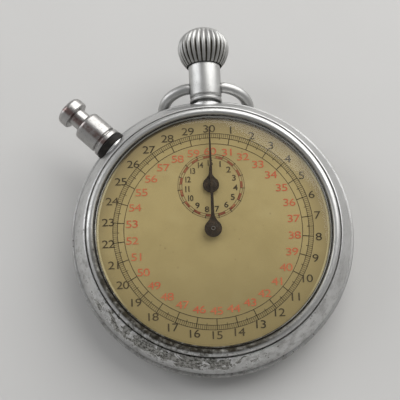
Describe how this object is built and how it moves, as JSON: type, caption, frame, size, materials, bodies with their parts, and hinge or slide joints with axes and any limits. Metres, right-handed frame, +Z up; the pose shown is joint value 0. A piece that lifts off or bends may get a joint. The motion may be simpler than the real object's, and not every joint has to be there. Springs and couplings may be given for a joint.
{
  "type": "mechanical stopwatch",
  "caption": "Round mechanical stopwatch with a printed dial under domed glass, hands, a ball crown on a pendant, a folding wire bow, a side pusher and a full movement.",
  "frame": {"origin": "centre of the flat of the case back, the watch leaning back on its folded bow so that the table is level", "axes": "+Y towards twelve o'clock and the crown, +X towards three o'clock, +Z up; the dial faces +Z, tipped back by the lean"},
  "size_m": [0.0547, 0.0664, 0.0186],
  "materials": {
    "case_chrome": "satin chromium plate, worn and lightly pitted",
    "watch_glass": "clear domed glass",
    "dial_paint": "aged cream paint with printed scales",
    "hand_steel": "dark oxidised steel",
    "movement_brass": "matt brass",
    "movement_steel": "machined steel",
    "spring_steel": "blued spring steel",
    "ruby": "polished synthetic ruby",
    "black_washer": "matt black"
  },
  "bodies": {
    "case": {"case_middle": "case_chrome", "case_back": "case_chrome", "bezel": "case_chrome", "crystal": "watch_glass", "dial": "dial_paint", "pendant": "case_chrome", "pusher_sleeve": "case_chrome", "pusher_washer": "black_washer", "main_plate": "movement_brass", "barrel_bridge": "movement_brass", "train_bridge": "movement_brass", "pallet_bridge": "movement_brass", "balance_cock": "movement_brass", "barrel_bridge_screw_1": "movement_steel", "barrel_bridge_screw_2": "movement_steel", "train_bridge_screw_1": "movement_steel", "train_bridge_screw_2": "movement_steel", "balance_cock_screw": "movement_steel", "case_screw_1": "movement_steel", "case_screw_2": "movement_steel", "click_screw": "movement_steel", "crown_wheel_screw": "movement_steel", "balance_jewel": "ruby", "crown_spring": "movement_steel", "pusher_spring": "movement_steel", "click_spring": "spring_steel", "hammer_spring": "spring_steel"},
    "bow": {"bow": "case_chrome"},
    "winding_pinion": {"winding_pinion": "movement_steel"},
    "crown": {"crown": "case_chrome", "winding_stem": "movement_steel"},
    "crown_wheel": {"crown_wheel": "movement_steel"},
    "ratchet": {"ratchet_wheel": "movement_steel", "ratchet_screw": "movement_steel", "barrel_arbor": "movement_steel"},
    "click": {"click": "movement_steel"},
    "barrel": {"barrel_drum": "movement_brass", "barrel_cover": "movement_brass", "mainspring": "spring_steel"},
    "intermediate_wheel": {"intermediate_wheel": "movement_brass"},
    "seconds": {"centre_arbor": "movement_steel", "centre_wheel": "movement_brass", "seconds_heart": "movement_steel", "seconds_hand": "hand_steel"},
    "minute_intermediate": {"minute_intermediate_wheel": "movement_brass"},
    "minutes": {"minute_arbor": "movement_steel", "minute_wheel": "movement_brass", "minute_heart": "movement_steel", "minute_hand": "hand_steel"},
    "escape": {"escape_wheel": "movement_steel"},
    "pallet_fork": {"pallet_fork": "movement_steel"},
    "balance": {"balance_wheel": "movement_brass", "balance_staff": "movement_steel", "hairspring": "spring_steel"},
    "regulator": {"regulator": "movement_steel"},
    "pusher": {"pusher_button": "case_chrome"},
    "hammer": {"hammer": "movement_steel"},
    "operating_lever": {"operating_lever": "movement_steel"},
    "column_wheel": {"column_wheel": "movement_steel"},
    "brake_lever": {"brake_lever": "movement_steel"}
  },
  "joints": [
    {"name": "bow_swing", "type": "hinge", "parent": "case", "child": "bow", "pos_m": [0, 0.0275, 0.01035], "axis": [1, 0, 0], "range_deg": [0, 260]},
    {"name": "crown_turn", "type": "hinge", "parent": "case", "child": "winding_pinion", "pos_m": [0, 0.01701, 0.00883], "axis": [0, 0.9897, 0.1434], "continuous": true},
    {"name": "crown_press", "type": "slide", "parent": "winding_pinion", "child": "crown", "axis": [0, -0.9897, -0.1434], "range_m": [0, 0.0012], "stiffness_N_per_m": 900, "springref_m": -0.0015},
    {"name": "crown_wheel_turn", "type": "hinge", "parent": "case", "child": "crown_wheel", "pos_m": [0, 0.01351, 0.0058], "axis": [0, -0.1434, 0.9897], "continuous": true},
    {"name": "ratchet_turn", "type": "hinge", "parent": "case", "child": "ratchet", "pos_m": [0.00996, 0.00833, 0.00505], "axis": [0, -0.1434, 0.9897], "continuous": true},
    {"name": "click_swing", "type": "hinge", "parent": "case", "child": "click", "pos_m": [0.0173, 0.00104, 0.00399], "axis": [0, -0.1434, 0.9897], "range_deg": [-6, 0]},
    {"name": "seconds_turn", "type": "hinge", "parent": "case", "child": "seconds", "pos_m": [0, -0.00158, 0.01089], "axis": [0, -0.1434, 0.9897], "continuous": true},
    {"name": "intermediate_turn", "type": "hinge", "parent": "case", "child": "intermediate_wheel", "pos_m": [0.00635, 0.00006, 0.00708], "axis": [0, -0.1434, 0.9897], "continuous": true},
    {"name": "barrel_turn", "type": "hinge", "parent": "case", "child": "barrel", "pos_m": [0.00996, 0.00787, 0.00821], "axis": [0, -0.1434, 0.9897], "continuous": true},
    {"name": "minute_intermediate_turn", "type": "hinge", "parent": "case", "child": "minute_intermediate", "pos_m": [-0.00138, 0.00362, 0.00356], "axis": [0, -0.1434, 0.9897], "continuous": true},
    {"name": "minutes_turn", "type": "hinge", "parent": "case", "child": "minutes", "pos_m": [0, 0.00672, 0.01189], "axis": [0, -0.1434, 0.9897], "continuous": true},
    {"name": "escape_turn", "type": "hinge", "parent": "case", "child": "escape", "pos_m": [-0.00322, -0.00555, 0.00627], "axis": [0, -0.1434, 0.9897], "continuous": true},
    {"name": "pallet_rock", "type": "hinge", "parent": "case", "child": "pallet_fork", "pos_m": [-0.00617, -0.0076, 0.00597], "axis": [0, -0.1434, 0.9897], "range_deg": [-3, 3]},
    {"name": "balance_swing", "type": "hinge", "parent": "case", "child": "balance", "pos_m": [-0.01026, -0.01036, 0.00507], "axis": [0, -0.1434, 0.9897], "range_deg": [-270, 270]},
    {"name": "regulator_shift", "type": "hinge", "parent": "case", "child": "regulator", "pos_m": [-0.01026, -0.01007, 0.00309], "axis": [0, -0.1434, 0.9897], "range_deg": [-15, 15]},
    {"name": "pusher_press", "type": "slide", "parent": "case", "child": "pusher", "axis": [0.7169, -0.69, -0.1], "range_m": [0, 0.001], "stiffness_N_per_m": 900, "springref_m": -0.0015},
    {"name": "hammer_swing", "type": "hinge", "parent": "case", "child": "hammer", "pos_m": [-0.012, 0.00067, 0.00232], "axis": [0, -0.1434, 0.9897], "range_deg": [-10, 0]},
    {"name": "operating_swing", "type": "hinge", "parent": "case", "child": "operating_lever", "pos_m": [-0.0086, 0.01287, 0.00813], "axis": [0, -0.1434, 0.9897], "range_deg": [-10, 0]},
    {"name": "column_turn", "type": "hinge", "parent": "case", "child": "column_wheel", "pos_m": [-0.0145, 0.006, 0.00744], "axis": [0, -0.1434, 0.9897], "range_deg": [0, 35]},
    {"name": "brake_swing", "type": "hinge", "parent": "case", "child": "brake_lever", "pos_m": [-0.0176, -0.0004, 0.00691], "axis": [0, -0.1434, 0.9897], "range_deg": [0, 3]}
  ],
  "couplings": [
    {"joint": "intermediate_turn", "follows": "seconds_turn", "ratio": -0.14286},
    {"joint": "barrel_turn", "follows": "seconds_turn", "ratio": 0.02381},
    {"joint": "escape_turn", "follows": "seconds_turn", "ratio": -10},
    {"joint": "minute_intermediate_turn", "follows": "seconds_turn", "ratio": -0.2},
    {"joint": "minutes_turn", "follows": "seconds_turn", "ratio": 0.033333},
    {"joint": "crown_wheel_turn", "follows": "crown_turn", "ratio": 0.46154},
    {"joint": "ratchet_turn", "follows": "crown_turn", "ratio": -0.27273},
    {"joint": "hammer_swing", "follows": "pusher_press", "rad_per_m": -130.73},
    {"joint": "operating_swing", "follows": "crown_press", "rad_per_m": -114.94},
    {"joint": "column_turn", "follows": "crown_press", "rad_per_m": 436.33},
    {"joint": "brake_swing", "follows": "crown_press", "rad_per_m": 30}
  ]
}
